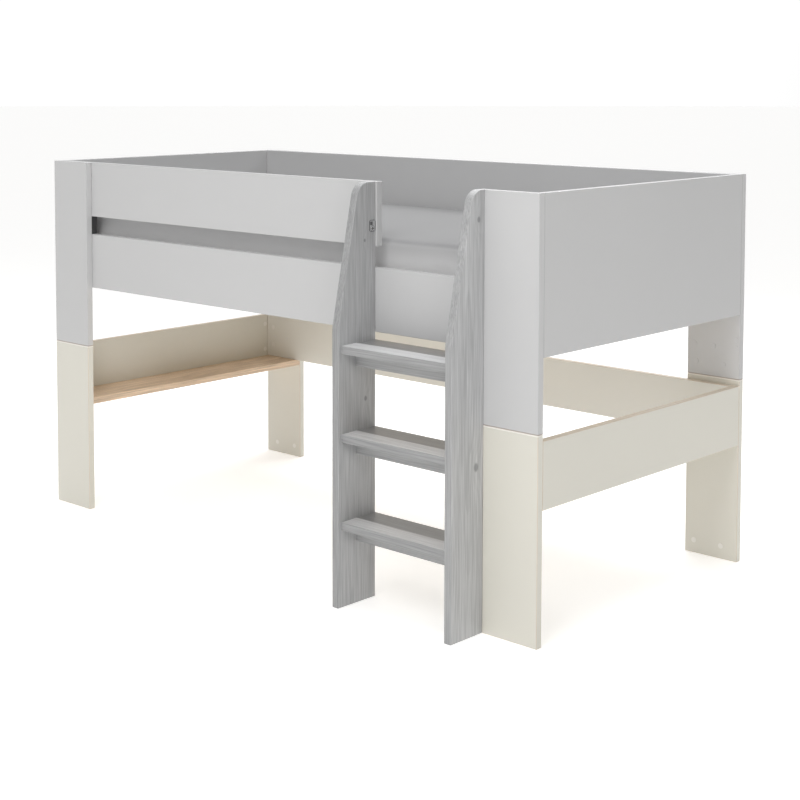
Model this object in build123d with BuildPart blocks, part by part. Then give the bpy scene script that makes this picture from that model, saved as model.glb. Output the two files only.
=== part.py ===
from build123d import *
import os

os.makedirs("parts", exist_ok=True)

# Half-high loft bed for a 900 x 2000 mattress, in millimetres.
# +X is the ladder end of the bed, -Y the front, +Z up. The origin is on the
# floor, in the middle of the whole object's footprint, ladder included.

# ---------------------------------------------------------------- dimensions
bed_length = 2070.0          # over the end panels and legs
bed_width = 1024.0           # over the faces of the front and rear legs
bed_height = 1182.0          # top of legs, panels and guard rail
board_t = 22.0               # thickness of every painted board
edge_r = 2.0                 # eased edge of every painted board

leg_w = 180.0                # width of a leg board
seam_z = 560.0               # joint between lower and upper leg
panel_z = 758.0              # underside of end panels, rear panel and side rail
rail_top = 940.0             # top of the front side rail
guard_z = 1000.0             # underside of the guard rail
low_rail = (360.0, 542.0)    # lower end rails
shelf_top = 382.0            # end shelf, lower rear rail stands on it

ladder_reach = 128.0         # how far the ladder stands out in front
stile_t = 24.0               # ladder stile thickness
ladder_in = 383.0            # clear width between the stiles
stile_kink_z = 785.0         # where the stile's front edge turns back
stile_top_y = 82.4           # how far the front edge has gone back at the top
stile_top_r = 45.0
stile_kink_r = 120.0
tread_t = 24.0
tread_tops = (243.0, 490.0, 737.0)
tread_setback = 12.0         # tread front behind the stile front
nose_w = 60.0                # front part of the tread top, slightly sloped
nose_drop = 1.5
support_h = 42.0             # board under each tread
support_t = 24.0

guard_past_stile = 5.0       # guard rail end beyond the stile's inner face

ledger_z = (800.0, 840.0)
slat_t = 18.0
slat_w = 68.0
slat_count = 15
mattress_l = 2000.0
mattress_w = 900.0
mattress_h = 160.0
mattress_r = 25.0

# fittings
cam_r, cam_t = 7.5, 12.5     # cam disc
cam_clear = 0.15
rod_r, rod_in = 3.5, 12.0    # rod thread and its depth in the neighbouring board
neck_r = 3.0
head_r = 3.6
frame_edge = 34.0            # cam centre to the end of its board
seam_edge = 40.0             # the same at the leg joints and feet
leg_bores = (55.0, 149.0)    # from the outer edge of the leg
cap_r, cap_t = 8.2, 1.0
dowel_r, dowel_l = 4.0, 35.0
dowel_short = 15.0           # depth in the face of a board, the rest in an end
screw_r, screw_head_r, screw_head_t = 2.2, 4.2, 2.4

# ---------------------------------------------------------------- key planes
xl, xr = -bed_length / 2, bed_length / 2
xl1, xr1 = xl + board_t, xr - board_t
y0 = -(bed_width - ladder_reach) / 2          # front face of the front legs
y1, y2 = y0 + board_t, y0 + 2 * board_t       # side rail front and back
y5 = y0 + bed_width                           # rear face of the rear legs
y4, y3 = y5 - board_t, y5 - 2 * board_t       # rear panel back and front
stile_x = (xr - leg_w - stile_t, xr - leg_w)  # right stile, against the leg
stile_xl = (stile_x[0] - ladder_in - stile_t, stile_x[0] - ladder_in)
guard_end = stile_xl[1] + guard_past_stile
ladder_y = y0 - ladder_reach
slat_top = ledger_z[1] + slat_t
half_t = board_t / 2

X, Y, Z = Vector(1, 0, 0), Vector(0, 1, 0), Vector(0, 0, 1)


def frame(at, z_dir):
    """Plane at a point with a given normal."""
    z_dir = Vector(z_dir)
    x_dir = Z if abs(z_dir.Z) < 0.5 else X
    return Plane(origin=at, x_dir=x_dir, z_dir=z_dir)


def centre(x, y, z):
    return ((x[0] + x[1]) / 2, (y[0] + y[1]) / 2, (z[0] + z[1]) / 2)


def span(x, y, z):
    return (x[1] - x[0], y[1] - y[0], z[1] - z[0])


# ------------------------------------------------------- positions of fittings
# Each cam joint: centre of the cam on the board's inner face, outward normal
# of that face, direction of the rod towards the neighbouring board, distance
# from the cam to the end of its board.
def joint(at, face, rod, edge):
    return (Vector(at), Vector(face), Vector(rod), edge)


def contact(j):
    """Where the rod crosses from its board into the neighbour."""
    return j[0] - j[1] * half_t + j[2] * j[3]


leg_sides = {
    "front_left": (xl, 1, y0, 1),
    "front_right": (xr, -1, y0, 1),
    "rear_left": (xl, 1, y5, -1),
    "rear_right": (xr, -1, y5, -1),
}


def leg_box(side):
    x, sx, y, sy = leg_sides[side]
    xs = sorted((x, x + sx * leg_w))
    ys = sorted((y, y + sy * board_t))
    return xs, ys


seam_joints = {}
foot_joints = {}
for side, (x, sx, y, sy) in leg_sides.items():
    inner = y + sy * board_t
    seam_joints[side] = [
        joint((x + sx * b, inner, seam_z + seam_edge), Y * sy, -Z, seam_edge)
        for b in leg_bores
    ]
    foot_joints[side] = [
        joint((x + sx * b, inner, seam_edge), Y * sy, -Z, seam_edge) for b in leg_bores
    ]

# end panels and lower end rails: rods run into the faces of the legs
panel_joints = {}
low_end_joints = {}
for name, x, sx in (("left", xl1, 1), ("right", xr1, -1)):
    panel_joints[name] = [
        joint((x, yy, zz), X * sx, Y * d, frame_edge)
        for yy, d in ((y1 + frame_edge, -1), (y4 - frame_edge, 1))
        for zz in (800.0, 980.0)
    ]
    low_end_joints[name] = [
        joint((x, yy, zz), X * sx, Y * d, frame_edge)
        for yy, d in ((y1 + frame_edge, -1), (y4 - frame_edge, 1))
        for zz in (408.0, 506.0)
    ]

# long boards: rods run into the faces of the end boards
rear_joints = [
    joint((xx, y3, zz), -Y, X * d, frame_edge)
    for xx, d in ((xl1 + frame_edge, -1), (xr1 - frame_edge, 1))
    for zz in (815.0, 960.0)
]
low_rear_joints = [
    joint((xx, y3, zz), -Y, X * d, frame_edge)
    for xx, d in ((xl1 + frame_edge, -1), (xr1 - frame_edge, 1))
    for zz in (428.0, 495.0)
]
side_joints = [
    joint((xx, y2, zz), Y, X * d, frame_edge)
    for xx, d in ((xl1 + frame_edge, -1), (xr1 - frame_edge, 1))
    for zz in (780.0, 910.0)
]
guard_joints = [
    joint((xl1 + frame_edge, y2, zz), Y, -X, frame_edge) for zz in (1045.0, 1137.0)
]
tread_joints = {}
for n, top in enumerate(tread_tops):
    # the cams sit in the underside of the tread, behind the support board
    tread_joints[n] = [
        joint((xx, y0 - 8.0, top - tread_t), -Z, X * d, frame_edge)
        for xx, d in ((stile_xl[1] + frame_edge, -1), (stile_x[0] - frame_edge, 1))
    ]

# dowels: point where the two boards meet, direction into the board's end
def dowel(at, end_dir):
    return (Vector(at), Vector(end_dir))


panel_dowels = {
    "left": [dowel((xl + half_t, yy, 1120.0), Y * d) for yy, d in ((y1, 1), (y4, -1))],
    "right": [dowel((xr - half_t, yy, 1120.0), Y * d) for yy, d in ((y1, 1), (y4, -1))],
}
low_end_dowels = {
    "left": [dowel((xl + half_t, yy, 457.0), Y * d) for yy, d in ((y1, 1), (y4, -1))],
    "right": [dowel((xr - half_t, yy, 457.0), Y * d) for yy, d in ((y1, 1), (y4, -1))],
}
rear_dowels = [dowel((xx, y3 + half_t, 1120.0), X * d) for xx, d in ((xl1, 1), (xr1, -1))]
shelf_dowels = [
    dowel((xl1, yy, shelf_top - half_t), X) for yy in (y1 + 90.0, -40.0, 200.0, y3 - 60.0)
]
seam_dowels = {
    side: [dowel((x + sx * 102.0, y + sy * half_t, seam_z), -Z)]
    for side, (x, sx, y, sy) in leg_sides.items()
}
tread_dowels = {}
support_dowels = {}
for n, top in enumerate(tread_tops):
    tread_dowels[n] = [
        dowel((xx, yy, top - tread_t / 2), X * d)
        for xx, d in ((stile_xl[1], 1), (stile_x[0], -1))
        for yy in (ladder_y + 40.0, y0 - 40.0)
    ]
    support_dowels[n] = [
        dowel((xx, y0 - 56.0 + support_t / 2, top - tread_t - 24.0), X * d)
        for xx, d in ((stile_xl[1], 1), (stile_x[0], -1))
    ]

# screws: centre of the head's outer face, direction of the screw, length
rail_screws = []
for xx in (xl + 90.0, xl + 145.0, xr - 90.0, xr - 145.0):
    for zz in (772.0, 925.0):
        rail_screws.append(((xx, y2, zz), -Y))
guard_screws = [((xx, y2, zz), -Y) for xx in (xl + 75.0, xl + 135.0) for zz in (1020.0, 1160.0)]
spacer_screws = [((xx, y2, 970.0), -Y) for xx in (xl + 60.0, xl + 135.0)]
panel_screws = [
    ((xx, y3, zz), Y)
    for xx in (xl + 80.0, xl + 135.0, xr - 80.0, xr - 135.0)
    for zz in (785.0, 900.0)
]
low_rear_screws = [
    ((xx, y3, 461.0), Y) for xx in (xl + 68.0, xl + 133.0, xr - 68.0, xr - 133.0)
]
shelf_screws = [((xx, y3 + half_t, shelf_top - board_t), Z) for xx in (xl + 70.0, xl + 140.0)]
screw_l = 38.0

step = (xr1 - xl1 - slat_w - 24.0) / (slat_count - 1)
slat_x = [xl1 + 12.0 + slat_w / 2 + step * n for n in range(slat_count)]
slat_screw_l = 32.0
slat_screws = [
    ((xx, yy, slat_top), -Z) for xx in slat_x for yy in (y2 + 12.0, y3 - 12.0)
]
ledger_x = [xl1 + 120.0 + (xr1 - xl1 - 240.0) / 6 * n + 37.0 for n in range(7)]
ledger_screws = [((xx, y2 + board_t, 812.0), -Y) for xx in ledger_x]
ledger_screws += [((xx, y3 - board_t, 812.0), Y) for xx in ledger_x]
tread_screw_l = 56.0
tread_screws = [
    ((xx, y0 - 56.0 + support_t / 2, top - tread_t - support_h), Z)
    for top in tread_tops
    for xx in (stile_xl[1] + 100.0, stile_x[0] - 100.0)
]
ladder_bolt_l = 55.0
ladder_bolts = [
    ((xx, y2, zz), -Y)
    for xx in (sum(stile_xl) / 2, sum(stile_x) / 2)
    for zz in (775.0, 915.0)
]

# guard rail connector on the inner face of the left stile
conn_y = y1 - 13.5
conn_z = 1059.0
conn_w, conn_h = 25.0, 33.0
conn_deep, conn_proud = 11.0, 1.2
conn_rod_z = conn_z - 7.5
conn_rod_x = stile_xl[1] - 4.5


# ---------------------------------------------------------------- piece makers
def cam_pockets(joints):
    """Pocket and rod bore of each cam, cut from the open part."""
    with Locations(*[frame(j[0], j[1]) for j in joints]):
        Cylinder(cam_r + cam_clear, cam_t + 0.5, align=(Align.CENTER, Align.CENTER, Align.MAX), mode=Mode.SUBTRACT)
    with Locations(*[frame(contact(j), j[2]) for j in joints]):
        Cylinder(head_r + 0.4, joints[0][3], align=(Align.CENTER, Align.CENTER, Align.MAX), mode=Mode.SUBTRACT)


def rod_holes(joints):
    """Holes that take the threaded ends of the rods, cut from the open part."""
    with Locations(*[frame(contact(j), j[2] * -1) for j in joints]):
        Cylinder(rod_r + 0.1, rod_in + 0.5, align=(Align.CENTER, Align.CENTER, Align.MAX), mode=Mode.SUBTRACT)


def dowel_holes(points, in_end):
    """Holes for dowels, in the end of a board or in the face of its neighbour."""
    depth = dowel_l - dowel_short if in_end else dowel_short
    with Locations(*[frame(p[0], p[1] * (-1 if in_end else 1)) for p in points]):
        Cylinder(dowel_r + 0.08, depth + 0.5, align=(Align.CENTER, Align.CENTER, Align.MAX), mode=Mode.SUBTRACT)


def screw_holes(screws, length, start=0.0, head=True):
    """Clearance for screws, from a given depth along the screw."""
    with Locations(*[frame(Vector(s[0]) + s[1] * start, s[1] * -1) for s in screws]):
        Cylinder(screw_r + 0.1, length - start + 0.4, align=(Align.CENTER, Align.CENTER, Align.MAX), mode=Mode.SUBTRACT)
        if head:
            Cylinder(screw_head_r + 0.15, screw_head_t + 0.1, align=(Align.CENTER, Align.CENTER, Align.MAX), mode=Mode.SUBTRACT)


def in_box(items, x, y, z):
    """The fittings whose point lies in a range of X, Y and Z."""
    out = []
    for i in items:
        p = Vector(i[0])
        if x[0] <= p.X <= x[1] and y[0] <= p.Y <= y[1] and z[0] <= p.Z <= z[1]:
            out.append(i)
    return out


everywhere = (-1e6, 1e6)
pieces = []


def keep(builder, label):
    builder.part.label = label
    pieces.append((label, builder.part))


# ---------------------------------------------------------------- upper legs
def upper_leg(side):
    xs, ys = leg_box(side)
    x, sx, y, sy = leg_sides[side]
    near = (min(xs), max(xs))
    with BuildPart() as leg:
        with Locations(centre(xs, ys, (seam_z, bed_height))):
            Box(*span(xs, ys, (seam_z, bed_height)))
        fillet(leg.edges(), edge_r)
        cam_pockets(seam_joints[side])
        dowel_holes(seam_dowels[side], False)
        end = "left" if sx > 0 else "right"
        rod_holes([j for j in panel_joints[end] if j[2].Y * sy < 0])
        dowel_holes([d for d in panel_dowels[end] if d[1].Y * sy > 0], False)
        own = in_box(rail_screws + guard_screws + spacer_screws if sy > 0 else panel_screws, near, everywhere, everywhere)
        screw_holes(own, screw_l, board_t, head=False)
    return leg


for side in leg_sides:
    keep(upper_leg(side), "upper_leg_" + side)


# ---------------------------------------------------------------- lower legs
def lower_leg(side):
    xs, ys = leg_box(side)
    x, sx, y, sy = leg_sides[side]
    near = (min(xs), max(xs))
    with BuildPart() as leg:
        with Locations(centre(xs, ys, (0.0, seam_z))):
            Box(*span(xs, ys, (0.0, seam_z)))
        fillet(leg.edges(), edge_r)
        cam_pockets(foot_joints[side])
        rod_holes(seam_joints[side])
        dowel_holes(seam_dowels[side], True)
        end = "left" if sx > 0 else "right"
        rod_holes([j for j in low_end_joints[end] if j[2].Y * sy < 0])
        dowel_holes([d for d in low_end_dowels[end] if d[1].Y * sy > 0], False)
        if sy < 0:
            screw_holes(in_box(low_rear_screws, near, everywhere, everywhere), screw_l, board_t, head=False)
    return leg


for side in leg_sides:
    keep(lower_leg(side), "lower_leg_" + side)


# ---------------------------------------------------------------- end panels
def end_panel(end):
    xs = (xl, xl1) if end == "left" else (xr1, xr)
    with BuildPart() as panel:
        with Locations(centre(xs, (y1, y4), (panel_z, bed_height))):
            Box(*span(xs, (y1, y4), (panel_z, bed_height)))
        fillet(panel.edges(), edge_r)
        cam_pockets(panel_joints[end])
        dowel_holes(panel_dowels[end], True)
        sign = -1 if end == "left" else 1
        rod_holes([j for j in rear_joints + side_joints + guard_joints if j[2].X * sign > 0])
        dowel_holes([d for d in rear_dowels if d[1].X * sign < 0], False)
    return panel


keep(end_panel("left"), "end_panel_left")
keep(end_panel("right"), "end_panel_right")

# ---------------------------------------------------------------- rear panel
with BuildPart() as rear_panel:
    with Locations(centre((xl1, xr1), (y3, y4), (panel_z, bed_height))):
        Box(*span((xl1, xr1), (y3, y4), (panel_z, bed_height)))
    fillet(rear_panel.edges(), edge_r)
    cam_pockets(rear_joints)
    dowel_holes(rear_dowels, True)
    screw_holes(panel_screws, board_t)
    screw_holes([s for s in ledger_screws if s[1].Y > 0], slat_screw_l, board_t, head=False)
keep(rear_panel, "rear_panel")

# ---------------------------------------------------------------- front boards
with BuildPart() as side_rail:
    with Locations(centre((xl1, xr1), (y1, y2), (panel_z, rail_top))):
        Box(*span((xl1, xr1), (y1, y2), (panel_z, rail_top)))
    fillet(side_rail.edges(), edge_r)
    cam_pockets(side_joints)
    screw_holes(rail_screws, board_t)
    screw_holes([s for s in ledger_screws if s[1].Y < 0], slat_screw_l, board_t, head=False)
    with Locations(*[frame(b[0], Y) for b in ladder_bolts]):
        Cylinder(3.3, board_t, align=(Align.CENTER, Align.CENTER, Align.MAX), mode=Mode.SUBTRACT)
keep(side_rail, "side_rail_front")

with BuildPart() as guard_rail:
    with Locations(centre((xl1, guard_end), (y1, y2), (guard_z, bed_height))):
        Box(*span((xl1, guard_end), (y1, y2), (guard_z, bed_height)))
    fillet(guard_rail.edges(), edge_r)
    cam_pockets(guard_joints)
    screw_holes(guard_screws, board_t)
    with Locations(frame((conn_rod_x, y1, conn_rod_z), -Y)):
        Cylinder(rod_r + 0.1, rod_in + 0.5, align=(Align.CENTER, Align.CENTER, Align.MAX), mode=Mode.SUBTRACT)
keep(guard_rail, "guard_rail")

with BuildPart() as spacer:
    with Locations(centre((xl1, xl + leg_w), (y1, y2), (rail_top, guard_z))):
        Box(*span((xl1, xl + leg_w), (y1, y2), (rail_top, guard_z)))
    fillet(spacer.edges(), 1.0)
    screw_holes(spacer_screws, board_t)
keep(spacer, "guard_spacer")


# ---------------------------------------------------------------- lower rails
def low_end_rail(end):
    xs = (xl, xl1) if end == "left" else (xr1, xr)
    with BuildPart() as rail:
        with Locations(centre(xs, (y1, y4), low_rail)):
            Box(*span(xs, (y1, y4), low_rail))
        fillet(rail.edges(), edge_r)
        cam_pockets(low_end_joints[end])
        dowel_holes(low_end_dowels[end], True)
        sign = -1 if end == "left" else 1
        rod_holes([j for j in low_rear_joints if j[2].X * sign > 0])
        if end == "left":
            dowel_holes(shelf_dowels, False)
    return rail


keep(low_end_rail("left"), "lower_end_rail_left")
keep(low_end_rail("right"), "lower_end_rail_right")

with BuildPart() as low_rear:
    with Locations(centre((xl1, xr1), (y3, y4), (shelf_top, low_rail[1]))):
        Box(*span((xl1, xr1), (y3, y4), (shelf_top, low_rail[1])))
    fillet(low_rear.edges(), edge_r)
    cam_pockets(low_rear_joints)
    screw_holes(low_rear_screws, board_t)
    screw_holes(shelf_screws, screw_l, board_t, head=False)
keep(low_rear, "lower_rear_rail")

with BuildPart() as shelf:
    with Locations(centre((xl1, xl + leg_w), (y1, y4), (shelf_top - board_t, shelf_top))):
        Box(*span((xl1, xl + leg_w), (y1, y4), (shelf_top - board_t, shelf_top)))
    fillet(shelf.edges(), 1.5)
    dowel_holes(shelf_dowels, True)
    screw_holes(shelf_screws, board_t)
keep(shelf, "end_shelf")


# ---------------------------------------------------------------- ladder
def stile(xs, inner):
    """Ladder upright between two X limits; inner is +1 where its inner face looks to +X."""
    x_in = xs[1] if inner > 0 else xs[0]
    with BuildPart() as board:
        with BuildSketch(Plane.YZ.offset(xs[0])):
            with BuildLine():
                Polyline(
                    (y1, 0.0),
                    (ladder_y, 0.0),
                    (ladder_y, stile_kink_z),
                    (ladder_y + stile_top_y, bed_height),
                    (y1, bed_height),
                    close=True,
                )
            make_face()
        extrude(amount=stile_t)
        kink = board.edges().filter_by(Axis.X).group_by(Axis.Z)[1]
        fillet(kink, stile_kink_r)
        top = board.edges().filter_by(Axis.X).group_by(Axis.Z)[-1].sort_by(Axis.Y)[0]
        fillet(top, stile_top_r)
        fillet(board.edges().filter_by(Axis.X, reverse=True), 1.8)
        for n in tread_joints:
            rod_holes([j for j in tread_joints[n] if j[2].X * inner < 0])
            dowel_holes([d for d in tread_dowels[n] + support_dowels[n] if d[1].X * inner > 0], False)
        own = in_box(ladder_bolts, xs, everywhere, everywhere)
        with Locations(*[frame((b[0][0], y1, b[0][2]), Y) for b in own]):
            Cylinder(3.1, ladder_bolt_l - board_t + 0.5, align=(Align.CENTER, Align.CENTER, Align.MAX), mode=Mode.SUBTRACT)
        if inner > 0:
            with BuildSketch(Plane.YZ.offset(x_in)):
                with Locations((conn_y, conn_z)):
                    RectangleRounded(conn_w + 0.2, conn_h + 0.2, 6.0)
            extrude(amount=-conn_deep - 0.1, mode=Mode.SUBTRACT)
            with Locations(frame((conn_rod_x, y1, conn_rod_z), Y)):
                Cylinder(head_r + 0.4, 4.0, align=(Align.CENTER, Align.CENTER, Align.MAX), mode=Mode.SUBTRACT)
    return board


keep(stile(stile_xl, 1), "ladder_stile_left")
keep(stile(stile_x, -1), "ladder_stile_right")

tread_names = ("bottom", "middle", "top")


def tread(n):
    top = tread_tops[n]
    front = ladder_y + tread_setback
    with BuildPart() as board:
        with BuildSketch(Plane.YZ.offset(stile_xl[1])):
            with BuildLine():
                Polyline(
                    (y1, top - tread_t),
                    (front, top - tread_t),
                    (front, top - nose_drop),
                    (front + nose_w, top),
                    (y1, top),
                    close=True,
                )
            make_face()
        extrude(amount=ladder_in)
        rim = board.edges().filter_by(Axis.X).sort_by(Axis.Y)
        fillet([rim[0], rim[1]], 2.0)
        cam_pockets(tread_joints[n])
        dowel_holes(tread_dowels[n], True)
        own = in_box(tread_screws, everywhere, everywhere, (top - 80.0, top))
        screw_holes(own, tread_screw_l, support_h, head=False)
    return board


for n, word in enumerate(tread_names):
    keep(tread(n), "ladder_tread_" + word)


def tread_support(n):
    top = tread_tops[n] - tread_t
    ys = (y0 - 56.0, y0 - 56.0 + support_t)
    with BuildPart() as board:
        with Locations(centre((stile_xl[1], stile_x[0]), ys, (top - support_h, top))):
            Box(*span((stile_xl[1], stile_x[0]), ys, (top - support_h, top)))
        low = board.edges().filter_by(Axis.X).group_by(Axis.Z)[0]
        fillet(low, 1.5)
        dowel_holes(support_dowels[n], True)
        own = in_box(tread_screws, everywhere, everywhere, (top - support_h - 1.0, top))
        screw_holes(own, support_h)
    return board


for n, word in enumerate(tread_names):
    keep(tread_support(n), "tread_support_" + word)


# ---------------------------------------------------------------- slatted base
def ledger(ys, sign):
    with BuildPart() as batten:
        with Locations(centre((xl1 + 3.0, xr1 - 3.0), ys, ledger_z)):
            Box(*span((xl1 + 3.0, xr1 - 3.0), ys, ledger_z))
        fillet(batten.edges().filter_by(Axis.X), 1.5)
        screw_holes([s for s in ledger_screws if s[1].Y * sign > 0], board_t)
        screw_holes(in_box(slat_screws, everywhere, ys, everywhere), slat_screw_l, slat_t, head=False)
    return batten


keep(ledger((y2, y2 + board_t), -1), "slat_ledger_front")
keep(ledger((y3 - board_t, y3), 1), "slat_ledger_rear")

with BuildPart() as slats:
    with Locations(*[(xx, (y2 + y3) / 2, ledger_z[1] + slat_t / 2) for xx in slat_x]):
        Box(slat_w, y3 - y2 - 4.0, slat_t)
    fillet(slats.edges().filter_by(Axis.Y), 2.0)
    screw_holes(slat_screws, slat_t)
keep(slats, "slats")

with BuildPart() as mattress:
    with Locations((0.0, (y2 + y3) / 2, slat_top + mattress_h / 2)):
        Box(mattress_l, mattress_w, mattress_h)
    fillet(mattress.edges().filter_by(Axis.Z), 40.0)
    fillet(mattress.faces().sort_by(Axis.Z)[-1].edges(), mattress_r)
    fillet(mattress.faces().sort_by(Axis.Z)[0].edges(), mattress_r)
keep(mattress, "mattress")


# ---------------------------------------------------------------- fittings
def cams(joints):
    """Cam discs in their pockets, with cross recess and the mouth for the rod head."""
    with BuildPart() as discs:
        with Locations(*[frame(j[0] - j[1] * 0.4, j[1]) for j in joints]):
            Cylinder(cam_r, cam_t - 0.3, align=(Align.CENTER, Align.CENTER, Align.MAX))
            Box(7.0, 1.4, 1.8, align=(Align.CENTER, Align.CENTER, Align.MAX), mode=Mode.SUBTRACT)
            Box(1.4, 7.0, 1.8, align=(Align.CENTER, Align.CENTER, Align.MAX), mode=Mode.SUBTRACT)
        with Locations(*[frame(j[0] - j[1] * half_t - j[2] * 1.0, j[2]) for j in joints]):
            Cylinder(head_r + 0.3, cam_r + 3.0, align=(Align.CENTER, Align.CENTER, Align.MIN), mode=Mode.SUBTRACT)
    return discs


def rods(joints):
    """Rods: thread in the neighbouring board, neck and head towards the cam."""
    neck_l = joints[0][3] - 5.0
    with BuildPart() as pins:
        with Locations(*[frame(contact(j), j[2]) for j in joints]):
            Cylinder(rod_r, rod_in, align=(Align.CENTER, Align.CENTER, Align.MIN))
        with Locations(*[frame(contact(j), j[2] * -1) for j in joints]):
            Cylinder(neck_r, neck_l, align=(Align.CENTER, Align.CENTER, Align.MIN))
        with Locations(*[frame(contact(j) - j[2] * neck_l, j[2] * -1) for j in joints]):
            Cylinder(head_r, 4.5, align=(Align.CENTER, Align.CENTER, Align.MIN))
    return pins


def pegs(points):
    """Dowels, the short side in the face of the neighbouring board."""
    with BuildPart() as lot:
        with Locations(*[frame(d[0] - d[1] * dowel_short, d[1]) for d in points]):
            Cylinder(dowel_r, dowel_l, align=(Align.CENTER, Align.CENTER, Align.MIN))
    return lot


seam_all = [j for side in leg_sides for j in seam_joints[side]]
foot_all = [j for side in leg_sides for j in foot_joints[side]]
frame_grey = panel_joints["left"] + panel_joints["right"] + rear_joints + side_joints + guard_joints
frame_cream = low_end_joints["left"] + low_end_joints["right"] + low_rear_joints
tread_all = [j for n in tread_joints for j in tread_joints[n]]

keep(cams(seam_all + foot_all), "leg_cams")
keep(rods(seam_all), "leg_joint_rods")
keep(cams(frame_grey + frame_cream), "frame_cams")
keep(rods(frame_grey + frame_cream), "frame_rods")
keep(cams(tread_all), "ladder_cams")
keep(rods(tread_all), "ladder_rods")


def caps(joints):
    with BuildPart() as discs:
        with Locations(*[frame(j[0], j[1]) for j in joints]):
            Cylinder(cap_r, cap_t, align=(Align.CENTER, Align.CENTER, Align.MIN))
    return discs


# spare holes of the upper legs' inner faces are closed with the same caps
spare_caps = []
for side, (x, sx, y, sy) in leg_sides.items():
    for dx, zz in ((13.0, 656.0), (13.0, 680.0), (90.0, 653.0), (155.0, 654.0)):
        spare_caps.append(joint((x + sx * dx, y + sy * board_t, zz), Y * sy, -Z, 0.0))

keep(caps(seam_all + spare_caps + guard_joints), "cover_caps_grey")
keep(caps(foot_all + low_end_joints["left"] + low_end_joints["right"] + low_rear_joints), "cover_caps_cream")

all_dowels = []
for group in (panel_dowels, low_end_dowels):
    all_dowels += group["left"] + group["right"]
all_dowels += rear_dowels + shelf_dowels
all_dowels += [d for side in leg_sides for d in seam_dowels[side]]
keep(pegs(all_dowels), "frame_dowels")
keep(pegs([d for n in tread_dowels for d in tread_dowels[n] + support_dowels[n]]), "ladder_dowels")


def screws(items, length):
    with BuildPart() as lot:
        with Locations(*[frame(s[0], s[1]) for s in items]):
            Cylinder(screw_head_r, screw_head_t, align=(Align.CENTER, Align.CENTER, Align.MIN))
            Cylinder(screw_r, length, align=(Align.CENTER, Align.CENTER, Align.MIN))
            Box(5.0, 1.1, 1.3, align=(Align.CENTER, Align.CENTER, Align.MIN), mode=Mode.SUBTRACT)
            Box(1.1, 5.0, 1.3, align=(Align.CENTER, Align.CENTER, Align.MIN), mode=Mode.SUBTRACT)
    return lot


keep(screws(rail_screws + guard_screws + spacer_screws + panel_screws + low_rear_screws + shelf_screws, screw_l), "board_screws")
keep(screws(ledger_screws, slat_screw_l), "ledger_screws")
keep(screws(slat_screws, slat_screw_l), "slat_screws")
keep(screws(tread_screws, tread_screw_l), "tread_screws")

with BuildPart() as bolts:
    with Locations(*[frame(b[0], b[1]) for b in ladder_bolts]):
        Cylinder(3.0, ladder_bolt_l, align=(Align.CENTER, Align.CENTER, Align.MIN))
    with Locations(*[frame(b[0], b[1] * -1) for b in ladder_bolts]):
        Cylinder(7.0, 3.5, align=(Align.CENTER, Align.CENTER, Align.MIN))
    with BuildSketch(*[frame(Vector(b[0]) - b[1] * 3.5, b[1]) for b in ladder_bolts]):
        RegularPolygon(2.3, 6)
    extrude(amount=2.5, mode=Mode.SUBTRACT)
keep(bolts, "ladder_bolts")

# guard rail connector: housing with a ribbed boss above and a cross-recess cam below
with BuildPart() as housing:
    with BuildSketch(Plane.YZ.offset(stile_xl[1] - conn_deep)):
        with Locations((conn_y, conn_z)):
            RectangleRounded(conn_w, conn_h, 5.8)
    extrude(amount=conn_deep + conn_proud)
    with Locations(frame((stile_xl[1] + conn_proud, conn_y, conn_rod_z), X)):
        Cylinder(6.6, conn_deep - 1.0, align=(Align.CENTER, Align.CENTER, Align.MAX), mode=Mode.SUBTRACT)
    with Locations(frame((stile_xl[1] + conn_proud, conn_y, conn_z + 8.0), X)):
        Cylinder(6.6, 1.0, align=(Align.CENTER, Align.CENTER, Align.MIN))
        with GridLocations(2.6, 2.6, 4, 4):
            Box(1.1, 1.1, 2.0, align=(Align.CENTER, Align.CENTER, Align.CENTER), mode=Mode.SUBTRACT)
    with Locations(frame((conn_rod_x, y1, conn_rod_z), Y)):
        Cylinder(head_r + 0.3, 9.0, align=(Align.CENTER, Align.CENTER, Align.MAX), mode=Mode.SUBTRACT)
keep(housing, "guard_connector_housing")

with BuildPart() as conn_cam:
    with Locations(frame((stile_xl[1] + conn_proud + 0.6, conn_y, conn_rod_z), X)):
        Cylinder(6.4, conn_deep - 1.0, align=(Align.CENTER, Align.CENTER, Align.MAX))
        Box(7.6, 1.8, 3.0, align=(Align.CENTER, Align.CENTER, Align.MAX), mode=Mode.SUBTRACT)
        Box(1.8, 7.6, 3.0, align=(Align.CENTER, Align.CENTER, Align.MAX), mode=Mode.SUBTRACT)
    with Locations(frame((conn_rod_x, y1 - 13.5, conn_rod_z), Y)):
        Cylinder(head_r + 0.3, 12.0, align=(Align.CENTER, Align.CENTER, Align.MIN), mode=Mode.SUBTRACT)
keep(conn_cam, "guard_connector_cam")

with BuildPart() as conn_rod:
    with Locations(frame((conn_rod_x, y1, conn_rod_z), Y)):
        Cylinder(rod_r, rod_in, align=(Align.CENTER, Align.CENTER, Align.MIN))
    with Locations(frame((conn_rod_x, y1, conn_rod_z), -Y)):
        Cylinder(neck_r, 9.0, align=(Align.CENTER, Align.CENTER, Align.MIN))
    with Locations(frame((conn_rod_x, y1 - 9.0, conn_rod_z), -Y)):
        Cylinder(head_r, 4.0, align=(Align.CENTER, Align.CENTER, Align.MIN))
keep(conn_rod, "guard_connector_rod")

for label, part in pieces:
    export_step(part, "parts/" + label + ".step")
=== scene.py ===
import math

import bmesh
import bpy
from mathutils import Matrix, Vector


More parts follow.
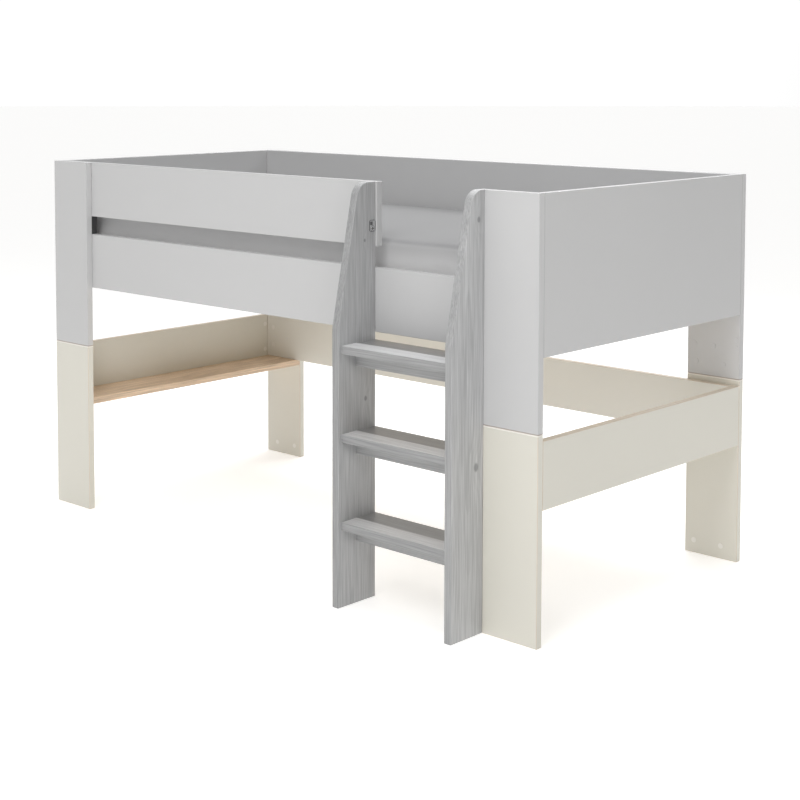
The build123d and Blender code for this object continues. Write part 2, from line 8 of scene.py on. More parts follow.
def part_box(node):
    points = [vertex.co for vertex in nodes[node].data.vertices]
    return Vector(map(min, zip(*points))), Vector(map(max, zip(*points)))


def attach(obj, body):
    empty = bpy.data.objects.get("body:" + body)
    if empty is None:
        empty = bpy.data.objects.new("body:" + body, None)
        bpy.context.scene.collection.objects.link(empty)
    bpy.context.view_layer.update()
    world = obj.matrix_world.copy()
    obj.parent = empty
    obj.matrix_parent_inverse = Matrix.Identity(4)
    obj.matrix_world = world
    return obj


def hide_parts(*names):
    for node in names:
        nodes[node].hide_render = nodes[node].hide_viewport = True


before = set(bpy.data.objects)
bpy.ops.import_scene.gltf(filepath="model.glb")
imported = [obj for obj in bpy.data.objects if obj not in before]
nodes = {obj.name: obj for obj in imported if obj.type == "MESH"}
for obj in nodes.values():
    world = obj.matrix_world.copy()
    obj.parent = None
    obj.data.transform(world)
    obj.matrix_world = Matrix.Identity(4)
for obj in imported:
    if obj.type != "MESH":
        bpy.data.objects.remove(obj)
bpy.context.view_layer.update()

scene = bpy.context.scene


# ---------------------------------------------------------------- node helpers
class Mat:
    """A procedural material. Object coordinates are metres in the row's frame."""

    def __init__(self, name):
        self.m = bpy.data.materials.new(name)
        self.m.use_nodes = True
        self.nt = self.m.node_tree
        self.nt.nodes.clear()
        self.out = self.add("OutputMaterial")
        self.b = self.add("BsdfPrincipled")
        self.link(self.b.outputs[0], self.out.inputs["Surface"])
        self.pos = self.add("TexCoord").outputs["Object"]

    def add(self, kind, **props):
        n = self.nt.nodes.new("ShaderNode" + kind)
        for k, v in props.items():
            setattr(n, k, v)
        return n

    def link(self, a, b):
        self.nt.links.new(a, b)

    def put(self, socket, v):
        if isinstance(v, bpy.types.NodeSocket):
            self.link(v, socket)
        else:
            socket.default_value = v

    def math(self, op, a, b=None, c=None, clamp=False):
        n = self.add("Math", operation=op, use_clamp=clamp)
        for i, v in enumerate((a, b, c)):
            if v is not None:
                self.put(n.inputs[i], v)
        return n.outputs[0]

    def vec(self, op, a, b=None, scale=None):
        n = self.add("VectorMath", operation=op)
        self.put(n.inputs[0], a)
        if b is not None:
            self.put(n.inputs[1], b)
        if scale is not None:
            self.put(n.inputs["Scale"], scale)
        return n.outputs["Value"] if op in ("LENGTH", "DOT_PRODUCT", "DISTANCE") else n.outputs[0]

    def xyz(self, v):
        n = self.add("SeparateXYZ")
        self.put(n.inputs[0], v)
        return n.outputs[0], n.outputs[1], n.outputs[2]

    def join(self, x, y, z):
        n = self.add("CombineXYZ")
        for i, v in enumerate((x, y, z)):
            self.put(n.inputs[i], v)
        return n.outputs[0]

    def noise(self, v, scale, detail=2.0, rough=0.5, distortion=0.0):
        n = self.add("TexNoise")
        self.put(n.inputs["Vector"], v)
        n.inputs["Scale"].default_value = scale
        n.inputs["Detail"].default_value = detail
        n.inputs["Roughness"].default_value = rough
        n.inputs["Distortion"].default_value = distortion
        return n.outputs[0]

    def remap(self, v, a, b, c=0.0, d=1.0, smooth=True):
        n = self.add("MapRange", interpolation_type="SMOOTHSTEP" if smooth else "LINEAR")
        self.put(n.inputs["Value"], v)
        for k, x in (("From Min", a), ("From Max", b), ("To Min", c), ("To Max", d)):
            n.inputs[k].default_value = x
        return n.outputs[0]

    def mix(self, f, a, b):
        n = self.add("Mix", data_type="RGBA")
        self.put(n.inputs[0], f)
        self.put(n.inputs[6], a if isinstance(a, bpy.types.NodeSocket) else (*a, 1.0))
        self.put(n.inputs[7], b if isinstance(b, bpy.types.NodeSocket) else (*b, 1.0))
        return n.outputs[2]

    def shade(self, colour, factor):
        """colour times a number."""
        if not isinstance(colour, bpy.types.NodeSocket):
            colour = self.mix(0.0, colour, colour)
        return self.vec("SCALE", colour, scale=factor)

    def bump(self, height, distance, strength, under=None):
        n = self.add("Bump")
        self.put(n.inputs["Height"], height)
        n.inputs["Distance"].default_value = distance
        n.inputs["Strength"].default_value = strength
        if under is not None:
            self.link(under, n.inputs["Normal"])
        return n.outputs[0]

    def finish(self, colour, rough, normal=None, **fixed):
        self.put(self.b.inputs["Base Color"], colour if isinstance(colour, bpy.types.NodeSocket) else (*colour, 1.0))
        self.put(self.b.inputs["Roughness"], rough)
        if normal is not None:
            self.link(normal, self.b.inputs["Normal"])
        for k, v in fixed.items():
            self.b.inputs[k.replace("_", " ")].default_value = v
        return self.m


def wear(g, materials):
    """Gives every slot of a CAD node the same material."""
    for name in materials if isinstance(materials, (list, tuple)) else [materials]:
        o = nodes[name]
        if not o.material_slots:
            o.data.materials.append(g)
        for s in o.material_slots:
            s.material = g


# ---------------------------------------------------------------- materials
def board(name, rgb, shift, rough=0.40, edge=None, top=0.0, joint_line_and_highlight=None):
    """Satin board: even colour with a faint cloudiness, fine orange peel in the lacquer.

    edge is a tone mixed onto the eased edges, top how much of it the upward faces get: painted shade on the grey
    boards, a tan edge-band tone together with painted shade on the cream ones.
    The joint of the two leg halves is given as (from z, to z, tone): a dark joint line on the upper half, and on the
    lower half a lighter band that is a painted highlight of its rounded edge."""
    g = Mat(name)
    p = g.vec("ADD", g.pos, (shift, shift * 0.7, shift * 0.3))
    cloud = g.noise(p, 1.7, 3.0, 0.55)
    blot = g.noise(p, 14.0, 3.0, 0.6)
    f = g.math("MULTIPLY_ADD", g.math("SUBTRACT", cloud, 0.5), 0.05, 1.0)
    f = g.math("MULTIPLY_ADD", g.math("SUBTRACT", blot, 0.5), 0.02, f)
    speck = g.remap(g.noise(p, 900.0, 1.0, 0.5), 0.70, 0.80, 0.0, 0.03)
    f = g.math("SUBTRACT", f, speck)
    peel = g.noise(p, 420.0, 2.0, 0.5)
    wave = g.noise(p, 28.0, 2.0, 0.5)
    n = g.bump(peel, 0.00012, 0.35)
    n = g.bump(wave, 0.0006, 0.12, n)
    r = g.math("MULTIPLY_ADD", g.math("SUBTRACT", blot, 0.5), 0.14, rough)
    colour = g.mix(0.0, rgb, rgb)
    nx, ny, nz = g.xyz(g.add("NewGeometry").outputs["Normal"])
    # painted shade: eased edges and upward faces are mixed towards the darker edge tone
    if edge is not None:
        flat = g.math("MAXIMUM", g.math("MAXIMUM", g.math("ABSOLUTE", nx), g.math("ABSOLUTE", ny)), g.math("ABSOLUTE", nz))
        m = g.remap(flat, 0.90, 0.995, 0.55, 0.0)
        m = g.math("MAXIMUM", m, g.remap(nz, 0.97, 0.998, 0.0, top))
        m = g.math("MULTIPLY", m, g.remap(blot, 0.2, 0.8, 0.8, 1.0))
        colour = g.mix(m, colour, edge)
    # joint line: a dark line on the upper legs; on the cream lower legs a lighter band, a painted highlight of the
    # rounded edge
    if joint_line_and_highlight is not None:
        z = g.xyz(g.pos)[2]
        m = g.math("MULTIPLY", g.remap(z, joint_line_and_highlight[0] - 0.0004, joint_line_and_highlight[0] + 0.0004), g.remap(z, joint_line_and_highlight[1] - 0.0004, joint_line_and_highlight[1] + 0.0004, 1.0, 0.0))
        colour = g.mix(m, colour, joint_line_and_highlight[2])
    return g.finish(g.shade(colour, f), r, n, Specular_IOR_Level=0.45)


def timber(name, axis, light, dark, pith, seed, ring=0.0075, late=0.85, knots=(), rough=0.55, fibre=0.10, stain=0.10, gloss_split=None, plane=(0, 1), front_face_shade=1.0, wobble=0.030):
    """Sawn softwood: growth rings about a pith line outside the board, fibres along it, and knots that the rings bend round.

    axis is the grain's direction. pith is where the pith line crosses, in the two other coordinates.
    A knot is (place along the grain, place across it, radius, strength); across is coordinate number plane[1] of the pair."""
    g = Mat(name)
    x, y, z = g.xyz(g.pos)
    along, a, b = {"X": (x, y, z), "Y": (y, x, z), "Z": (z, x, y)}[axis]
    across = (a, b)[plane[1]]
    stretched = g.join(g.math("MULTIPLY", a, 9.0), g.math("MULTIPLY", b, 9.0), g.math("MULTIPLY_ADD", along, 1.6, seed * 3.1))
    bend = g.math("SUBTRACT", g.noise(stretched, 1.0, 2.0, 0.5), 0.5)
    fine = g.join(g.math("MULTIPLY", a, 70.0), g.math("MULTIPLY", b, 70.0), g.math("MULTIPLY_ADD", along, 5.0, seed * 1.7))
    jitter = g.math("SUBTRACT", g.noise(fine, 1.0, 3.0, 0.6), 0.5)
    r = g.math("SQRT", g.math("ADD",
        g.math("POWER", g.math("SUBTRACT", a, pith[0]), 2.0),
        g.math("POWER", g.math("SUBTRACT", b, pith[1]), 2.0)))
    r = g.math("MULTIPLY_ADD", bend, wobble, r)
    dark_knot = None
    for at, side, radius, push in knots:
        da = g.math("SUBTRACT", along, at)
        db = g.math("SUBTRACT", across, side)
        d2 = g.math("ADD", g.math("POWER", g.math("MULTIPLY", da, 0.45), 2.0), g.math("POWER", db, 2.0))
        bulge = g.math("POWER", 2.718, g.math("MULTIPLY", d2, -1.0 / (2.6 * radius) ** 2))
        r = g.math("MULTIPLY_ADD", bulge, push, r)
        d = g.math("SQRT", g.math("ADD", g.math("POWER", g.math("MULTIPLY", da, 0.8), 2.0), g.math("POWER", db, 2.0)))
        d = g.math("MULTIPLY_ADD", jitter, radius * 0.7, d)
        spot = g.remap(d, radius * 0.5, radius * 1.15, 1.0, 0.0)
        dark_knot = spot if dark_knot is None else g.math("MAXIMUM", dark_knot, spot)
    t = g.math("DIVIDE", r, ring)
    t = g.math("MULTIPLY_ADD", jitter, 0.55, t)
    ring_no = g.math("FLOOR", t)
    phase = g.math("SUBTRACT", t, ring_no)
    line = g.math("MULTIPLY", g.remap(phase, 0.25, 0.86), g.remap(phase, 0.88, 1.0, 1.0, 0.0))
    each = g.add("TexWhiteNoise", noise_dimensions="1D")
    g.link(g.math("ADD", ring_no, seed), each.inputs["W"])
    line = g.math("MULTIPLY", line, g.math("MULTIPLY_ADD", each.outputs["Value"], 0.75, 0.35))
    hair = g.noise(g.join(g.math("MULTIPLY", a, 1500.0), g.math("MULTIPLY", b, 1500.0), g.math("MULTIPLY", along, 28.0)), 1.0, 2.0, 0.55)
    streak = g.noise(g.join(g.math("MULTIPLY", a, 330.0), g.math("MULTIPLY", b, 330.0), g.math("MULTIPLY_ADD", along, 6.0, seed)), 1.0, 3.0, 0.6)
    blot = g.noise(g.join(g.math("MULTIPLY", a, 14.0), g.math("MULTIPLY", b, 14.0), g.math("MULTIPLY_ADD", along, 3.0, seed)), 1.0, 2.0, 0.5)
    band = g.noise(g.join(g.math("MULTIPLY", a, 85.0), g.math("MULTIPLY", b, 85.0), g.math("MULTIPLY_ADD", along, 2.2, seed * 2.3)), 1.0, 2.0, 0.5)
    thin = g.noise(g.join(g.math("MULTIPLY", a, 520.0), g.math("MULTIPLY", b, 520.0), g.math("MULTIPLY_ADD", along, 9.0, seed)), 1.0, 1.0, 0.5)
    colour = g.mix(g.math("MULTIPLY", line, late), light, dark)
    f = g.math("MULTIPLY_ADD", g.math("SUBTRACT", hair, 0.5), fibre * 2.0, 1.0)
    f = g.math("MULTIPLY_ADD", g.math("SUBTRACT", streak, 0.5), fibre * 9.0, f)
    f = g.math("MULTIPLY_ADD", g.math("SUBTRACT", band, 0.5), fibre * 3.0, f)
    f = g.math("MULTIPLY_ADD", g.math("SUBTRACT", thin, 0.5), fibre * 6.0, f)
    f = g.math("MULTIPLY_ADD", g.math("SUBTRACT", blot, 0.5), stain * 2.0, f)
    colour = g.shade(colour, f)
    if dark_knot is not None:
        core = tuple(c * 0.50 for c in dark)
        colour = g.mix(g.math("MULTIPLY", dark_knot, 0.62), colour, core)
    if front_face_shade != 1.0:
        # painted shade: faces turned to the front are darkened by this factor
        front = g.remap(g.math("MULTIPLY", g.xyz(g.add("NewGeometry").outputs["Normal"])[1], -1.0), 0.45, 0.85)
        colour = g.shade(colour, g.math("MULTIPLY_ADD", front, front_face_shade - 1.0, 1.0))
    relief = g.math("ADD", g.math("MULTIPLY", line, 0.7), g.math("MULTIPLY", hair, 0.5))
    n = g.bump(relief, 0.0004, 0.35)
    rr = g.math("MULTIPLY_ADD", line, -0.08, rough)
    if gloss_split is not None:
        # behind this line the top of a tread is darker and smoother
        edge, tone, smooth = gloss_split
        back = g.remap(y, edge - 0.0008, edge + 0.0008)
        normal = g.add("NewGeometry").outputs["Normal"]
        up = g.remap(g.xyz(normal)[2], 0.9, 0.98)
        m = g.math("MULTIPLY", back, up)
        nose = g.math("SUBTRACT", up, m)
        colour = g.shade(colour, g.math("MULTIPLY_ADD", nose, 0.24, 1.0))
        colour = g.mix(m, colour, g.shade(colour, tone))
        rr = g.math("MULTIPLY_ADD", m, smooth - rough, rr)
    return g.finish(colour, rr, n, Specular_IOR_Level=0.4)


GREY = (0.575, 0.575, 0.577)
CREAM = (0.722, 0.702, 0.630)
# the darker grey below is painted shade for the eased edges and upward faces of the grey boards
PAINTED_SHADE_GREY = (0.415, 0.415, 0.417)
wear(board("grey_board_legs", GREY, 0.0, edge=PAINTED_SHADE_GREY, top=0.75, joint_line_and_highlight=(0.5590, 0.5625, (0.40, 0.345, 0.325))), ["upper_leg_front_left", "upper_leg_front_right", "upper_leg_rear_left", "upper_leg_rear_right"])
wear(board("grey_board_ends", GREY, 3.3, edge=PAINTED_SHADE_GREY, top=0.75), ["end_panel_left", "end_panel_right", "rear_panel"])
wear(board("grey_board_rails", GREY, 7.9, edge=PAINTED_SHADE_GREY, top=0.75), ["side_rail_front", "guard_rail"])
# the tan below is partly an edge-band tone, partly painted shade on the eased edges and on the cream rails' upward
# faces
TAN_EDGE_AND_PAINTED_SHADE = (0.66, 0.49, 0.35)
# the lighter joint tone on the cream legs is a painted highlight of the rounded edge
wear(board("cream_board_legs", CREAM, 1.4, 0.42, edge=TAN_EDGE_AND_PAINTED_SHADE, joint_line_and_highlight=(0.5560, 0.5596, (0.90, 0.87, 0.81))), ["lower_leg_front_left", "lower_leg_front_right", "lower_leg_rear_left", "lower_leg_rear_right"])
wear(board("cream_board_rails", CREAM, 5.2, 0.42, edge=TAN_EDGE_AND_PAINTED_SHADE, top=0.40), ["lower_end_rail_left", "lower_end_rail_right"])
# the rear rail's cream is lighter and less yellow than the other cream boards: painted light against the shade under
# the bed
wear(board("cream_board_rear_painted_light", (0.780, 0.765, 0.708), 6.6, 0.42, edge=TAN_EDGE_AND_PAINTED_SHADE, top=0.40), "lower_rear_rail")
wear(board("dark_spacer", (0.045, 0.045, 0.046), 2.2, 0.6), "guard_spacer")

STAIN_L, STAIN_D = (0.505, 0.507, 0.511), (0.345, 0.347, 0.352)
# the front-face factor darkens faces turned to the front as painted shade
FRONT_FACE_SHADE = 0.78
# the left stile's stain is darker than the right one's: painted shade for the shadow falling on it
wear(timber("stained_pine_stile_l_painted_shade", "Z", (0.442, 0.444, 0.448), (0.300, 0.302, 0.306), (0.452 - 0.105, -0.520), 1.0, ring=0.0052, late=0.38, fibre=0.088, stain=0.05, front_face_shade=FRONT_FACE_SHADE,
            knots=((0.575, -0.466, 0.0065, 0.008), (1.020, -0.470, 0.005, 0.006)), plane=(0, 1)), "ladder_stile_left")
wear(timber("stained_pine_stile_r", "Z", STAIN_L, STAIN_D, (0.835 + 0.120, -0.500), 2.3, ring=0.0052, late=0.38, fibre=0.088, stain=0.05, front_face_shade=FRONT_FACE_SHADE,
            knots=((0.452, -0.476, 0.0105, 0.010), (1.105, -0.470, 0.007, 0.007)), plane=(0, 1)), "ladder_stile_right")
SPLIT = (-0.504, 0.50, 0.40)
for n, (word, seed) in enumerate((("bottom", 4.2), ("middle", 5.9), ("top", 7.7))):
    zz = (0.243, 0.490, 0.737)[n]
    wear(timber("stained_pine_tread_" + word, "X", STAIN_L, STAIN_D, (-0.40 - 0.03 * n, zz - 0.11), seed, ring=0.0052, late=0.5, fibre=0.07, stain=0.04, front_face_shade=0.68, gloss_split=SPLIT), "ladder_tread_" + word)
    wear(timber("stained_pine_support_" + word, "X", STAIN_L, STAIN_D, (-0.43 - 0.02 * n, zz + 0.03), seed + 0.7, ring=0.0052, late=0.5, fibre=0.07, stain=0.04, front_face_shade=0.84), "tread_support_" + word)

wear(timber("oak_shelf", "Y", (0.72, 0.555, 0.405), (0.54, 0.39, 0.26), (-0.93, 0.02), 9.1, ring=0.0032, late=0.8, fibre=0.13, rough=0.45), "end_shelf")
wear(timber("plain_pine", "Y", (0.76, 0.64, 0.47), (0.60, 0.44, 0.27), (0.0, 0.62), 11.3, ring=0.006, knots=((0.22, 0.42, 0.010, 0.02), (-0.10, -0.51, 0.009, 0.02)), plane=(0, 0)), "slats")
wear(timber("plain_pine_ledger", "X", (0.76, 0.64, 0.47), (0.60, 0.44, 0.27), (0.1, 0.70), 12.9, ring=0.006), ["slat_ledger_front", "slat_ledger_rear"])
wear(timber("beech_dowel", "Z", (0.66, 0.47, 0.31), (0.58, 0.39, 0.25), (0.0, 0.0), 14.0, ring=0.004, late=0.5), ["frame_dowels", "ladder_dowels"])


def metal(name, rgb, rough, scale, depth, metallic=1.0):
    g = Mat(name)
    grain = g.noise(g.pos, scale, 3.0, 0.6)
    cloud = g.noise(g.pos, 90.0, 2.0, 0.5)
    f = g.math("MULTIPLY_ADD", g.math("SUBTRACT", cloud, 0.5), 0.25, 1.0)
    r = g.math("MULTIPLY_ADD", g.math("SUBTRACT", grain, 0.5), 0.2, rough)
    return g.finish(g.shade(rgb, f), r, g.bump(grain, depth, 0.4), Metallic=metallic)


def plastic(name, rgb, rough=0.5):
    g = Mat(name)
    grain = g.noise(g.pos, 1600.0, 2.0, 0.5)
    cloud = g.noise(g.pos, 60.0, 2.0, 0.5)
    f = g.math("MULTIPLY_ADD", g.math("SUBTRACT", cloud, 0.5), 0.06, 1.0)
    r = g.math("MULTIPLY_ADD", g.math("SUBTRACT", grain, 0.5), 0.15, rough)
    return g.finish(g.shade(rgb, f), r, g.bump(grain, 0.0002, 0.5))


zinc = metal("zinc_cam", (0.62, 0.62, 0.63), 0.38, 700.0, 0.0003)
wear(zinc, ["leg_cams", "frame_cams", "ladder_cams"])
wear(metal("passivated_rod", (0.66, 0.60, 0.44), 0.32, 500.0, 0.0002), ["leg_joint_rods", "frame_rods", "ladder_rods", "guard_connector_rod"])
wear(metal("screw_steel", (0.64, 0.64, 0.63), 0.30, 600.0, 0.0002), ["ledger_screws", "slat_screws", "tread_screws", "ladder_bolts"])
wear(plastic("cover_cap_grey", (0.575, 0.575, 0.58), 0.45), "cover_caps_grey")
wear(plastic("cover_cap_cream", (0.83, 0.81, 0.76), 0.40), "cover_caps_cream")
wear(plastic("coated_screw", (0.80, 0.79, 0.76), 0.35), "board_screws")


def connector(name, rgb, cam):
    """The moulded housing with its outline and recess, or the cam with its cross slot; the dark outline, recess and
    slot are painted shade.
    """
    g = Mat(name)
    x, y, z = g.xyz(g.pos)
    grain = g.noise(g.pos, 1500.0, 2.0, 0.5)
    dy, dz = g.math("SUBTRACT", y, -0.4395), g.math("SUBTRACT", z, 1.0590)
    cz = g.math("SUBTRACT", z, 1.0515)
    ay, az, ac = g.math("ABSOLUTE", dy), g.math("ABSOLUTE", dz), g.math("ABSOLUTE", cz)

    def inside(u, lim, soft=0.0004):
        return g.remap(u, lim - soft, lim + soft, 1.0, 0.0)

    if cam:
        # painted shade: the cross slot is drawn near-black
        cross = g.math("MAXIMUM", g.math("MULTIPLY", inside(ay, 0.0014), inside(ac, 0.0050)), g.math("MULTIPLY", inside(ac, 0.0014), inside(ay, 0.0050)))
        colour = g.mix(cross, rgb, (0.006, 0.006, 0.006))
    else:
        # painted shade: a dark rim, ring and pocket where the gaps and recess are shaded
        rim = g.math("MAXIMUM", g.remap(ay, 0.0102, 0.0112), g.remap(az, 0.0142, 0.0152))
        rad = g.math("SQRT", g.math("ADD", g.math("POWER", dy, 2.0), g.math("POWER", cz, 2.0)))
        ring = g.math("MULTIPLY", g.remap(rad, 0.0064, 0.0070), g.remap(rad, 0.0082, 0.0090, 1.0, 0.0))
        pocket_shade = g.math("MULTIPLY", inside(g.math("ABSOLUTE", g.math("ADD", dy, 0.0052)), 0.0046), inside(g.math("ABSOLUTE", g.math("SUBTRACT", dz, 0.0070)), 0.0052))
        dark = g.math("MAXIMUM", g.math("MULTIPLY", rim, 0.75), g.math("MAXIMUM", g.math("MULTIPLY", ring, 0.65), g.math("MULTIPLY", pocket_shade, 0.8)))
        colour = g.mix(dark, rgb, (0.045, 0.045, 0.047))
    f = g.math("MULTIPLY_ADD", g.math("SUBTRACT", grain, 0.5), 0.1, 1.0)
    r = g.math("MULTIPLY_ADD", g.math("SUBTRACT", grain, 0.5), 0.15, 0.5)
    return g.finish(g.shade(colour, f), r, g.bump(grain, 0.0002, 0.4))


wear(connector("connector_grey", (0.450, 0.450, 0.455), False), "guard_connector_housing")
wear(connector("connector_cam", (0.560, 0.560, 0.565), True), "guard_connector_cam")


def knit(name):
    """Stretch cover: fine knit ribs, soft sheen and slight creasing."""
    g = Mat(name)
    x, y, z = g.xyz(g.pos)
    p = g.vec("ADD", g.pos, (0.2, 0.4, 0.1))
    cross = g.math("ADD", x, z)
    ribs = g.math("SINE", g.math("MULTIPLY", cross, 2 * math.pi / 0.0021))
    rows = g.math("SINE", g.math("MULTIPLY", g.math("ADD", y, g.math("MULTIPLY", z, 0.6)), 2 * math.pi / 0.0016))
    loops = g.math("MULTIPLY", ribs, rows)
    lint = g.noise(p, 900.0, 2.0, 0.6)
    cloud = g.noise(p, 3.0, 3.0, 0.5)
    f = g.math("MULTIPLY_ADD", loops, 0.035, 1.0)
    f = g.math("MULTIPLY_ADD", g.math("SUBTRACT", lint, 0.5), 0.08, f)
    f = g.math("MULTIPLY_ADD", g.math("SUBTRACT", cloud, 0.5), 0.05, f)
    n = g.bump(loops, 0.0004, 0.4)
    n = g.bump(g.noise(p, 11.0, 3.0, 0.55), 0.004, 0.25, n)
    up = g.remap(g.xyz(g.add("NewGeometry").outputs["Normal"])[2], 0.30, 0.97)
    # painted light and shade: the top is darker than the sides, the rounded rim darker against the highlight it
    # catches, and the border lighter towards the bottom against the shade there
    border_painted_light = g.mix(g.remap(z, 0.930, 1.012), (0.74, 0.74, 0.745), (0.400, 0.400, 0.404))
    cloth = g.mix(up, border_painted_light, (0.262, 0.262, 0.266))
    return g.finish(g.vec("SCALE", cloth, scale=f), 0.85, n, Sheen_Weight=0.15, Sheen_Roughness=0.5)


# ---------------------------------------------------------------- mattress
def make_mattress():
    """A soft foam mattress: flat where it lies on the slats, rounded and slightly swollen elsewhere."""
    lo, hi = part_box("mattress")
    size = hi - lo
    shrink = Vector((0.012, 0.012, 0.004))
    bm = bmesh.new()
    bmesh.ops.create_cube(bm, size=1.0)
    bmesh.ops.scale(bm, vec=size - shrink, verts=bm.verts)
    upright = [e for e in bm.edges if abs((e.verts[0].co - e.verts[1].co).z) > 0.1]
    bmesh.ops.bevel(bm, geom=upright, offset=0.045, segments=6, affect="EDGES", profile=0.5)
    rim = [e for e in bm.edges if abs(e.verts[0].co.z - e.verts[1].co.z) < 1e-4 and abs(abs(e.verts[0].co.z) - (size.z - shrink.z) / 2) < 1e-4]
    bmesh.ops.bevel(bm, geom=rim, offset=0.018, segments=4, affect="EDGES", profile=0.5)
    bmesh.ops.translate(bm, vec=(lo + hi) / 2, verts=bm.verts)
    me = bpy.data.meshes.new("mattress_cover")
    bm.to_mesh(me)
    bm.free()
    o = bpy.data.objects.new("mattress_cover", me)
    scene.collection.objects.link(o)
    mod = o.modifiers.new("remesh", "REMESH")
    mod.mode = "VOXEL"
    mod.voxel_size = 0.014
    bpy.context.view_layer.update()
    dg = bpy.context.evaluated_depsgraph_get()
    solid = bpy.data.meshes.new_from_object(o.evaluated_get(dg))
    o.modifiers.clear()
    o.data = solid
    rest = [v.co.copy() for v in solid.vertices]
    swollen = [c.copy() for c in rest]
    cloth = o.modifiers.new("cloth", "CLOTH")
    cs = cloth.settings
    cs.quality = 5
    cs.mass = 0.4
    cs.tension_stiffness = cs.compression_stiffness = 14
    cs.shear_stiffness = 6
    cs.bending_stiffness = 3.0
    cs.use_pressure = True
    cs.uniform_pressure_force = 4.0
    cs.effector_weights.gravity = 0.0
    cloth.collision_settings.use_collision = False
    cloth.collision_settings.use_self_collision = False
    scene.frame_start, scene.frame_end = 1, 20
    for f in range(1, 21):
        scene.frame_set(f)
    dg = bpy.context.evaluated_depsgraph_get()
    done = o.evaluated_get(dg).to_mesh()
    swollen = [v.co.copy() for v in done.vertices]
    o.evaluated_get(dg).to_mesh_clear()
    o.modifiers.clear()
    scene.frame_set(1)
    for v, a, b in zip(solid.vertices, rest, swollen):
        move = b - a
        if move.length > 0.006:
            move.length = 0.006
        p = a + move
        # slight roll along the edges of the top, a shallow dip inside it
        u = min(p.x - lo.x, hi.x - p.x)
        w = min(p.y - lo.y, hi.y - p.y)
        e = max(0.0, min(u, w))
        if a.z > (lo.z + hi.z) / 2 + 0.03:
            roll = math.exp(-((e - 0.040) / 0.060) ** 2) * 0.0008
            dip = -0.0025 * min(1.0, e / 0.30)
            p.z += roll + dip
            p.z += 0.0016 * math.sin(p.x * 5.3 + 0.7) * math.sin(p.y * 7.1 + 1.9) * min(1.0, e / 0.1)
        p.z = max(p.z, lo.z + 0.0006)
        p.x = max(lo.x - 0.006, min(hi.x + 0.006, p.x))
        p.y = max(lo.y - 0.006, min(hi.y + 0.006, p.y))
        v.co = p
    sub = o.modifiers.new("smooth", "SUBSURF")
    sub.levels = sub.render_levels = 1
    for poly in solid.polygons:
        poly.use_smooth = True
    solid.materials.clear()
    solid.materials.append(knit("mattress_knit"))
    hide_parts("mattress")
    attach(o, "mattress")
    return o


make_mattress()

# ---------------------------------------------------------------- floor
def make_floor():
    bm = bmesh.new()
    r = 60.0
    ring = [bm.verts.new((r * math.cos(2 * math.pi * i / 64), r * math.sin(2 * math.pi * i / 64), -0.0003)) for i in range(64)]
    bm.faces.new(ring)
    me = bpy.data.meshes.new("floor")
    bm.to_mesh(me)
    bm.free()
    o = bpy.data.objects.new("floor", me)
    scene.collection.objects.link(o)
    g = Mat("pale_floor")
    f = g.math("MULTIPLY_ADD", g.math("SUBTRACT", g.noise(g.pos, 2.0, 2.0, 0.5), 0.5), 0.02, 1.0)
    me.materials.append(g.finish(g.shade((0.90, 0.895, 0.88), f), 0.75, Specular_IOR_Level=0.2, Emission_Color=(1.0, 1.0, 1.0, 1.0), Emission_Strength=0.41))


make_floor()

# ---------------------------------------------------------------- light
# World light: wide soft lobes, each from one side, like large diffusers.
LOBES = {
    "front": ((0.25, -1.0, 0.2), 3.0, 0.38),
    "back": ((-0.70, 0.72, 0.10), 3.0, 1.43),
    "top": ((0.0, 0.0, 1.0), 3.0, 1.36),
}


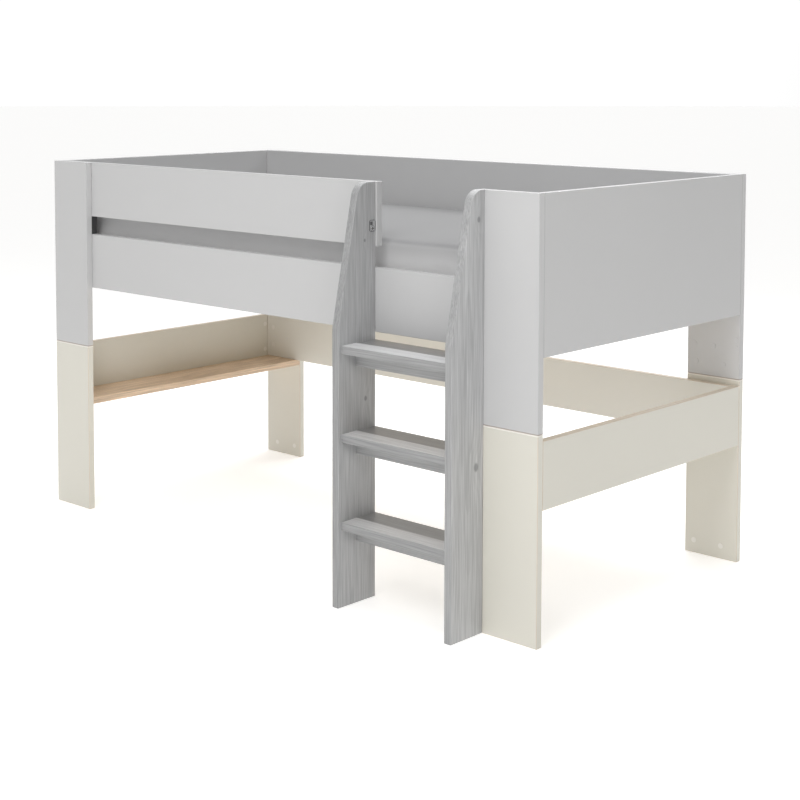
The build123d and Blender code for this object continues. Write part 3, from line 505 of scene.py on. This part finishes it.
def make_world():
    w = bpy.data.worlds.new("studio")
    scene.world = w
    w.use_nodes = True
    nt = w.node_tree
    nt.nodes.clear()
    out = nt.nodes.new("ShaderNodeOutputWorld")
    bg = nt.nodes.new("ShaderNodeBackground")
    nt.links.new(bg.outputs[0], out.inputs["Surface"])
    tc = nt.nodes.new("ShaderNodeTexCoord")
    total = None
    for name, (towards, power, weight) in LOBES.items():
        m = nt.nodes.new("ShaderNodeMath")
        m.operation = "MULTIPLY"
        m.name = "w_" + name
        m.inputs[1].default_value = weight
        if towards is None:
            m.inputs[0].default_value = 1.0
        else:
            d = nt.nodes.new("ShaderNodeVectorMath")
            d.operation = "DOT_PRODUCT"
            nt.links.new(tc.outputs["Generated"], d.inputs[0])
            d.inputs[1].default_value = Vector(towards).normalized()
            c = nt.nodes.new("ShaderNodeMath")
            c.operation = "MAXIMUM"
            nt.links.new(d.outputs["Value"], c.inputs[0])
            c.inputs[1].default_value = 0.0
            q = nt.nodes.new("ShaderNodeMath")
            q.operation = "POWER"
            nt.links.new(c.outputs[0], q.inputs[0])
            q.inputs[1].default_value = power
            nt.links.new(q.outputs[0], m.inputs[0])
        if total is None:
            total = m.outputs[0]
        else:
            s = nt.nodes.new("ShaderNodeMath")
            s.operation = "ADD"
            nt.links.new(total, s.inputs[0])
            nt.links.new(m.outputs[0], s.inputs[1])
            total = s.outputs[0]
    nt.links.new(total, bg.inputs["Strength"])


make_world()


def softbox(name, at, aim, size, power):
    data = bpy.data.lights.new(name, "AREA")
    data.shape = "RECTANGLE"
    data.size, data.size_y = size
    data.energy = power
    o = bpy.data.objects.new(name, data)
    scene.collection.objects.link(o)
    o.location = at
    o.rotation_mode = "QUATERNION"
    o.rotation_quaternion = (Vector(aim) - Vector(at)).to_track_quat("-Z", "Y")
    return o


softbox("key", (1.6, -4.5, 2.4), (0.5, 0.0, 0.7), (2.5, 2.5), 8.0)
softbox("near", (3.6, -2.2, 2.4), (0.8, -0.1, 0.7), (1.2, 1.2), 13.5)
softbox("front_high", (1.4, -3.3, 3.7), (0.3, 0.3, 0.9), (2.0, 1.5), 52.0)
softbox("overhead", (0.0, -0.2, 4.2), (0.0, 0.0, 0.8), (4.0, 3.0), 46.0)
softbox("rear_high", (-0.8, 2.8, 3.4), (0.0, 0.0, 0.6), (3.0, 1.5), 63.4)

# ---------------------------------------------------------------- camera
def make_camera():
    az, el = math.radians(43.684), math.radians(3.792)
    ahead = Vector((-math.sin(az) * math.cos(el), math.cos(az) * math.cos(el), -math.sin(el)))
    right = Vector((math.cos(az), math.sin(az), 0.0))
    up = right.cross(ahead)
    cam = bpy.data.cameras.new("camera")
    cam.sensor_fit = "AUTO"
    cam.sensor_width = 36.0
    cam.lens = 1581.1 * 36.0 / 800.0
    cam.shift_x = (400.0 - 351.0) / 800.0
    cam.shift_y = (173.4 - 400.0) / 800.0
    cam.clip_start, cam.clip_end = 0.05, 200.0
    o = bpy.data.objects.new("camera", cam)
    scene.collection.objects.link(o)
    m = Matrix((right, up, -ahead)).transposed().to_4x4()
    m.translation = Vector((3.4439, -3.6622, 1.4970))
    o.matrix_world = m
    scene.camera = o


make_camera()

scene.view_settings.view_transform = "Standard"
scene.view_settings.look = "None"
